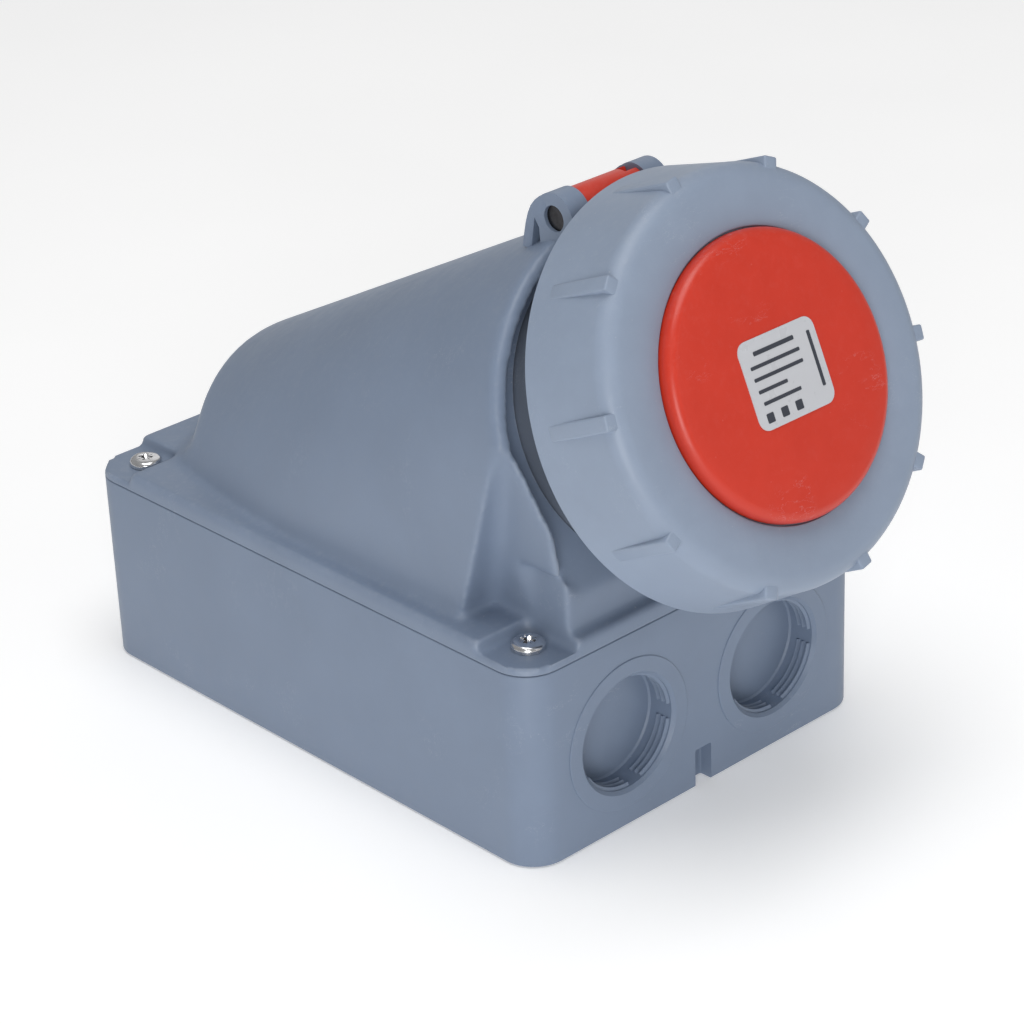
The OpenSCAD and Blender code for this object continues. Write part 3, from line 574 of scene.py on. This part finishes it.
def towerSolid(s, inset, base, front):
    # Plan of the tower as an upright prism, cut by the crown and the mouth's plane
    half = s["half"] - inset
    plan = drum(s["arcRadius"] - inset, base, far, 192, None, (0, s["arcY"]))
    for side in (-1, 1):
        cutFlat(plan, (side * half, 0, 0), (side, 0, 0))
    cutFlat(plan, (0, s["arcY"], 0), (0, -1, 0))
    plan.normal_update()
    flat = [f for f in plan.faces if f.normal.y < -0.9]
    pushOut(plan, flat, (0, s["front"] + inset - s["arcY"], 0))
    tower = toObject(plan, "tower")
    combine(tower, underCrown(s, inset), "INTERSECT")
    ahead = moved(block((2 * far, 2 * far, far), (0, 0, front + far / 2)), mouthPlace)
    return combine(tower, ahead)


def pocketBlock(s, side, grow):
    # Leaning corner block that makes a front pocket
    lean = turned(s["pocketSplay"] * side, "Y") @ turned(s["pocketLean"], "X")
    pocket = block((far, far, far), (side * far / 2, -far / 2, 0), s["pocketRound"] + grow, 8)
    place = (side * (s["pocket"][0] - grow), s["pocket"][1] + grow, s["plateTop"])
    return moved(pocket, Matrix.Translation(place) @ lean)


def softened(piece, rounds, chosen):
    bm = bmesh.new()
    bm.from_mesh(piece.data)
    verts = [v for v in bm.verts if chosen(v.co / mm)]
    for _ in range(rounds):
        bmesh.ops.smooth_vert(bm, verts=verts, factor=0.5, use_axis_x=True, use_axis_y=True,
                              use_axis_z=True)
    bm.to_mesh(piece.data)
    bm.free()


def buildCover(s):
    top = s["plateTop"]
    plate = block((boxSizes["width"], boxSizes["length"], top - 48), (0, 0, (top + 48) / 2),
                  boxSizes["corner"], 12)
    softenAll(plate, s["ledgeEdge"], 3, 60)
    shell = toObject(plate, "coverShell")
    tower = towerSolid(s, 0, 50, s["rimFront"])
    # The concave foot of the rear wall
    steps = 8
    foot = [(s["arcRadius"] - 3, top - 2), (s["arcRadius"] + s["footRadius"], top - 2)]
    for i in range(steps + 1):
        angle = quarter * i / steps
        foot.append((s["arcRadius"] + s["footRadius"] * (1 - math.sin(angle)) - 0.02,
                     top + s["footRadius"] * (1 - math.cos(angle))))
    foot.append((s["arcRadius"] - 3, top + s["footRadius"]))
    flare = lathe(foot, 96, 104, 38, True)
    bmesh.ops.translate(flare, vec=(0, s["arcY"], 0), verts=flare.verts)
    flareEnd = toObject(flare, "flare")
    combine(flareEnd, underCrown(s, 0), "INTERSECT")
    combine(tower, flareEnd, "UNION")
    hollow = toObject(moved(drum(s["hollow"], s["hollowFloor"], far, 192, None, (0, s["hollowUp"])),
                            mouthPlace), "hollow")
    for side in (-1, 1):
        pocket = pocketBlock(s, side, 0)
        cutFlat(pocket, (0, 0, top), (0, 0, -1))
        combine(tower, pocket)
        combine(hollow, pocketBlock(s, side, s["ridge"]))
    combine(tower, hollow)
    combine(shell, tower, "UNION")
    for x in (-1, 1):
        for y in (-1, 1):
            corner = (x * (boxSizes["screw"][0] - s["recess"] + 20), y * (boxSizes["screw"][1] - s["recess"] + 20))
            recess = block((40, 40, 20), (*corner, top - s["recessDepth"] + 10), s["pocketRound"], 8)
            combine(shell, recess)
    grid = shell.modifiers.new("grid", "REMESH")
    grid.mode = "VOXEL"
    grid.voxel_size = s["voxel"] * mm
    settle(shell)

    def onTower(p):
        return p.z > top + 1.2 and abs(p.x) < s["crown"] + 4

    inMouth = mouthPlace.inverted()

    def onRim(p):
        q = inMouth @ p
        return q.z > s["rimFront"] - 4.5 and q.y > -12 and math.hypot(q.x, q.y - s["hollowUp"]) > s["hollow"] + 1.4

    softened(shell, 16, onRim)
    softened(shell, 3, lambda p: p.z > top - 2)
    softened(shell, 3, onTower)
    softened(shell, 14, lambda p: p.y > 40 and p.z > top + 4)
    bm = bmesh.new()
    bm.from_mesh(shell.data)
    cutFlat(bm, (0, 0, s["plateLow"] * mm), (0, 0, -1))
    bm.to_mesh(shell.data)
    bm.free()
    cavity = towerSolid(s, s["wall"], 20, s["hollowFloor"] - s["wall"])
    for side in (-1, 1):
        combine(cavity, pocketBlock(s, side, s["wall"]))
    combine(shell, cavity)
    combine(shell, moved(drum(s["bore"], -60, 5, 160), mouthPlace))
    for x in (-1, 1):
        for y in (-1, 1):
            combine(shell, drum(2.9, 40, 70, 32, None, (x * boxSizes["screw"][0], y * boxSizes["screw"][1])))
    hinge = mouthPlace @ Matrix.Translation((0, *s["hinge"])) @ turned(90, "Y")
    for radius, half in (s["knuckleGap"], s["pinBore"]):
        combine(shell, moved(drum(radius, -half, half, 96), hinge))
    return shell


coverShell = dress(buildCover(coverSizes), "housing", coverPlastic, ["front_cover"], 60)

print("stage: hinge ears and knuckle")
hingeSizes = {"up": 51.05, "ahead": -2.4, "earRadius": 6.6, "earIn": 10.7, "earOut": 17.1, "pin": 3.4,
              "edge": 0.5, "knuckle": 6, "armHalf": 9.9, "notch": 6.6,
              "back": ((6.45, -1.0), (6.3, -2.6), (5.75, -4.7), (4.75, -6.8), (3.1, -8.8), (1.0, -10.7),
                       (-2.2, -13.1), (-4.5, -14.6)),
              "cheek": ((1.6, -6.9), (-1, -6.4), (-7, -8.4), (-8, -13.2))}


def buildEar(s, side):
    middle = side * (s["earIn"] + s["earOut"]) / 2
    half = (s["earOut"] - s["earIn"]) / 2
    up, ahead = s["up"], s["ahead"]
    eye = drum(s["earRadius"], -half, half, 64)
    moved(eye, Matrix.Translation((middle, up, ahead)) @ turned(90, "Y"))
    ear = toObject(eye, "hingeEar")
    reach = s["earRadius"] - 0.1
    foot = across([(up + y, ahead + z) for y, z in s["back"]]
                  + [(44.2, -11.8), (44.2, 0), (up - reach * 0.866, ahead + reach * 0.5)], half, middle)
    combine(ear, foot, "UNION")
    cheek = across([(up + y, ahead + z) for y, z in s["cheek"]], 3.4, side * s["earOut"])
    combine(ear, cheek)
    bore = drum(s["pin"], -far, far, 48)
    combine(ear, moved(bore, Matrix.Translation((0, up, ahead)) @ turned(90, "Y")))
    bm = bmesh.new()
    bm.from_mesh(ear.data)
    bmesh.ops.dissolve_limit(bm, angle_limit=math.radians(1), verts=bm.verts, edges=bm.edges)
    softenAll(bm, s["edge"] * mm, 3, 40)
    bmesh.ops.transform(bm, matrix=Matrix.Scale(1 / mm, 4), verts=bm.verts)
    bpy.data.objects.remove(ear)
    return toObject(moved(bm, mouthPlace), "hingeEarLeft" if side < 0 else "hingeEarRight")


for side in (-1, 1):
    dress(buildEar(hingeSizes, side), "housing", greyPlastic)

print("stage: locking ring")
ringSizes = {"front": 37, "rear": 10.5, "frontRadius": 52.6, "rearRadius": 55.5, "round": 5,
             "bore": 49, "web": 3.4, "opening": 34, "seatDepth": 1.4, "seatRadius": 36.2,
             "ribs": 10, "ribPhase": 30, "ribWidth": 4, "ribHeight": 1.5, "steps": 240,
             "lugRadius": 44.8, "lugLow": 11.5, "lugHigh": 15, "lugPhase": 50, "lugSweep": 28}


def arcPoints(centre, radius, start, end, steps):
    return [(centre[0] + radius * math.cos(math.radians(start + (end - start) * i / steps)),
             centre[1] + radius * math.sin(math.radians(start + (end - start) * i / steps)))
            for i in range(steps + 1)]


def buildRing(s):
    edge = s["frontRadius"] - s["round"]
    profile = [(s["opening"], s["front"] - s["web"]), (s["opening"], s["front"] - s["seatDepth"] - 0.4),
               (s["opening"] + 0.4, s["front"] - s["seatDepth"]),
               (s["seatRadius"], s["front"] - s["seatDepth"]), (s["seatRadius"], s["front"] - 0.5),
               (s["seatRadius"] + 0.15, s["front"] - 0.15), (s["seatRadius"] + 0.5, s["front"])]
    profile += arcPoints((edge, s["front"] - s["round"]), s["round"], 90, 0, 10)
    profile += [(s["rearRadius"] - 0.05, s["rear"] + 0.6), (s["rearRadius"] - 0.6, s["rear"]),
                (s["bore"] + 0.5, s["rear"]), (s["bore"], s["rear"] + 0.5),
                (s["bore"], s["front"] - s["web"] - 1), (s["bore"] - 1, s["front"] - s["web"])]
    ring = toObject(moved(lathe(profile, s["steps"], closed=True), mouthPlace), "ringShell")
    low, high = s["rear"] + 5.8, s["front"] - 1
    for i in range(s["ribs"]):
        spot = mouthPlace @ turned(s["ribPhase"] + 360 * i / s["ribs"], "Z")
        rib = bmesh.new()
        w = s["ribWidth"] / 2
        base = [(50, -w, low), (s["rearRadius"] - 0.7, -w, low), (s["frontRadius"] + s["ribHeight"] - 0.3, -w, high),
                (50, -w, high)]
        side = rib.faces.new([rib.verts.new(p) for p in base])
        pushOut(rib, [side], (0, 2 * w, 0), False)
        softenAll(rib, 0.55, 4, 40)
        combine(ring, moved(rib, spot), "UNION")
    for i in range(3):
        start = s["lugPhase"] + 120 * i - s["lugSweep"] / 2
        lug = lathe([(s["lugRadius"], s["lugLow"]), (s["lugRadius"], s["lugHigh"]),
                     (s["bore"] + 1, s["lugHigh"]), (s["bore"] + 1, s["lugLow"])], 24, s["lugSweep"], start, True)
        combine(ring, moved(lug, mouthPlace), "UNION")
    return ring


dress(buildRing(ringSizes), "ring", ringPlastic, ["locking_ring"], 25)

print("stage: lid")
lidSizes = {"radius": 35.8, "base": 35.9, "top": 41.25, "edge": 2.8, "dome": 0.75, "spigot": 33.6,
            "spigotLow": 33.3, "label": (26.4, 22), "labelCorner": 3, "labelHeight": 0.2}


def domeHeight(s, radius):
    return s["top"] - s["dome"] * (radius / s["radius"]) ** 2


def buildCap(s):
    edgeTop = domeHeight(s, s["radius"] - s["edge"])
    profile = [(0, s["spigotLow"]), (s["spigot"], s["spigotLow"]), (s["spigot"], s["base"]),
               (s["radius"] - 0.3, s["base"]), (s["radius"], s["base"] + 0.3)]
    profile += arcPoints((s["radius"] - s["edge"], edgeTop - s["edge"]), s["edge"], 0, 84, 8)
    rings = 10
    inner = s["radius"] - s["edge"]
    profile += [(inner * (1 - i / rings), domeHeight(s, inner * (1 - i / rings))) for i in range(1, rings + 1)]
    return toObject(moved(lathe(profile, 192), mouthPlace), "lidCap")


dress(buildCap(lidSizes), "lid", redPlastic, ["lid_disc"], 30)


def onDome(bm, s, lift):
    for vert in bm.verts:
        vert.co.z += domeHeight(s, vert.co.xy.length) + lift
    return bm


def labelSheet(size, centre, corner, thick, cuts, s, lift):
    sheet = block((size[0], size[1], thick), (*centre, 0), corner, 6)
    faces = [f for f in sheet.faces if abs(f.normal.z) > 0.9]
    bmesh.ops.triangulate(sheet, faces=faces)
    long = [e for e in sheet.edges if e.calc_length() > 3]
    bmesh.ops.subdivide_edges(sheet, edges=long, cuts=cuts, use_grid_fill=True)
    return onDome(sheet, s, lift)


def buildLabel(s):
    sheet = labelSheet(s["label"], (0, 0), s["labelCorner"], 0.5, 4, s, -0.05)
    return toObject(moved(sheet, mouthPlace), "labelPlate")


dress(buildLabel(lidSizes), "lid", labelFilm, ["rating_label"], 30)

# Plain bars on the label: centre and size of each
labelBars = [((-1.5, 7.4), (14, 1.1)), ((-2.2, 4.3), (17, 0.9)), ((-2.2, 1.4), (17, 0.9)),
             ((-5.5, -1.6), (10, 0.9)), ((-3.5, -4.6), (13, 0.9)), ((10.6, 0.5), (1.1, 14)),
             ((-9.2, -8.2), (2.4, 2.4)), ((-4.2, -8.2), (2.4, 2.4)), ((0.8, -8.2), (2.4, 2.4))]


def buildBars(bars, s):
    whole = bmesh.new()
    for centre, size in bars:
        bar = labelSheet(size, centre, 0.3, 0.06, 2, s, 0.21)
        part = bpy.data.meshes.new("bar")
        bar.to_mesh(part)
        bar.free()
        whole.from_mesh(part)
        bpy.data.meshes.remove(part)
    return toObject(moved(whole, mouthPlace), "labelBars")


dress(buildBars(labelBars, lidSizes), "lid", labelInk)

frameSizes = {"plate": 43, "plateLow": 30, "plateHigh": 33.3, "skirtIn": 46.6, "skirtOut": 48.6,
              "skirtLow": 5, "skirtHalf": 12, "armTop": 10.1}


def buildFrame(s, h):
    plate = lathe([(0, s["plateLow"]), (s["plate"] - 0.5, s["plateLow"]), (s["plate"], s["plateLow"] + 0.5),
                   (s["plate"], s["plateHigh"]), (0, s["plateHigh"])], 128)
    lid = toObject(plate, "lidArm")
    skirt = lathe([(s["skirtIn"], s["skirtLow"]), (s["skirtOut"], s["skirtLow"]),
                   (s["skirtOut"], s["plateHigh"]), (s["skirtIn"], s["plateHigh"])],
                  24, 2 * s["skirtHalf"], 90 - s["skirtHalf"], True)
    combine(lid, skirt, "UNION")
    web = lathe([(s["plate"] - 1, s["plateLow"]), (s["skirtOut"] - 0.3, s["plateLow"]),
                 (s["skirtOut"] - 0.3, s["plateHigh"] - 0.1), (s["plate"] - 1, s["plateHigh"] - 0.1)],
                24, 2 * s["skirtHalf"] - 0.4, 90 - s["skirtHalf"] + 0.2, True)
    combine(lid, web, "UNION")
    up, ahead, r = h["up"], h["ahead"], h["knuckle"]
    arm = across([(up - r, ahead), (s["skirtIn"] - 1.4, s["armTop"]), (s["skirtOut"] - 0.6, s["armTop"]),
                  (up, ahead + r - 0.2), (up + r - 0.2, ahead)], h["armHalf"])
    softenAll(arm, 0.5, 3, 40)
    combine(lid, arm, "UNION")
    knuckle = drum(r, -h["earIn"] + 0.2, h["earIn"] - 0.2, 96)
    softenAll(knuckle, 0.5, 3, 60)
    combine(lid, moved(knuckle, Matrix.Translation((0, up, ahead)) @ turned(90, "Y")), "UNION")
    nick = block((4.4, 4, 4), (8.6, up + r, ahead + 1.5))
    combine(lid, nick)
    bore = drum(h["pin"], -far, far, 48)
    combine(lid, moved(bore, Matrix.Translation((0, up, ahead)) @ turned(90, "Y")))
    lid.data.transform(Matrix.Scale(mm, 4) @ mouthPlace @ Matrix.Scale(1 / mm, 4))
    return lid


dress(buildFrame(frameSizes, hingeSizes), "lid", redPlastic, ["lid_frame"], 30)

print("stage: screws")
screwSizes = {"radius": 4.5, "low": 57, "height": 2.3, "shank": 2.45, "length": 20, "cross": 1.2,
              "crossDepth": 1.7}


def buildScrew(s, index, x, y, angle):
    top = s["height"]
    profile = [(0, -s["length"]), (s["shank"] - 0.5, -s["length"]), (s["shank"], -s["length"] + 0.5),
               (s["shank"], 0), (s["radius"] - 0.2, 0), (s["radius"], 0.2), (s["radius"], top - 1.5)]
    profile += arcPoints((s["radius"] - 1.3, top - 1.5), 1.3, 12, 78, 6)
    profile += [(s["radius"] - 2.4, top - 0.02), (0, top)]
    screw = toObject(lathe(profile, 64), "coverScrew" + str(index))
    for turn in (0, 90):
        slot = bmesh.new()
        bmesh.ops.create_cube(slot, size=1)
        bmesh.ops.scale(slot, vec=(s["radius"] * 1.25, s["cross"], 2 * s["crossDepth"]), verts=slot.verts)
        for vert in slot.verts:
            if vert.co.z < 0:
                vert.co.x *= 0.45
                vert.co.y *= 0.7
        bmesh.ops.translate(slot, vec=(0, 0, top), verts=slot.verts)
        combine(screw, moved(slot, turned(turn, "Z")))
    for turn in (45, 135):
        tick = block((s["radius"] * 1.0, 0.35, 0.5), (0, 0, top), 0)
        combine(screw, moved(tick, turned(turn, "Z")))
    placed = Matrix.Translation((x * boxSizes["screw"][0], y * boxSizes["screw"][1], s["low"])) @ turned(angle, "Z")
    screw.data.transform(Matrix.Scale(mm, 4) @ placed @ Matrix.Scale(1 / mm, 4))
    return screw


screwTurns = [(-1, -1, 23), (1, -1, 51), (1, 1, 8), (-1, 1, 37)]
for index, (x, y, angle) in enumerate(screwTurns, 1):
    dress(buildScrew(screwSizes, index, x, y, angle), "housing", brightSteel,
          ["cover_screw_" + str(index)], 30)

print("stage: finishes of the packed nodes")
nodeFinish = {"cover_seal": sealRubber, "barrel_seal": sealRubber, "lid_seal": sealRubber,
              "socket_barrel": barrelPlastic, "contact_carrier": insulatorPlastic,
              "contact_cap": insulatorPlastic, "hinge_pin": darkSteel, "rear_box": greyPlastic,
              "front_cover": greyPlastic, "locking_ring": ringPlastic, "lid_disc": redPlastic,
              "lid_frame": redPlastic, "rating_label": labelFilm}


def finishFor(name):
    if name in nodeFinish:
        return nodeFinish[name]
    return contactBrass if name.startswith("contact_") else brightSteel


for name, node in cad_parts.items():
    node.data.materials.clear()
    node.data.materials.append(finishFor(name))

print("stage: floor")
floorSizes = {"side": 12000, "low": -0.4, "glow": 0.24}


def layFloor(s):
    bm = bmesh.new()
    bmesh.ops.create_grid(bm, x_segments=1, y_segments=1, size=s["side"] / 2)
    bmesh.ops.translate(bm, vec=(0, 0, s["low"]), verts=bm.verts)
    floor = toObject(bm, "studioFloor")
    material = bpy.data.materials.new("paleFloor")
    material.use_nodes = True
    tree = material.node_tree
    shader = tree.nodes["Principled BSDF"]
    shader.inputs["Roughness"].default_value = 0.9
    shader.inputs["Emission Color"].default_value = (1, 1, 1, 1)
    shader.inputs["Emission Strength"].default_value = s["glow"]
    cloud = noise(tree, millimetres(tree), 0.01, 2.0)
    join(tree, mixColour(tree, cloud, (0.9, 0.9, 0.9, 1), (0.94, 0.94, 0.94, 1)), shader.inputs["Base Color"])
    floor.data.materials.append(material)


layFloor(floorSizes)
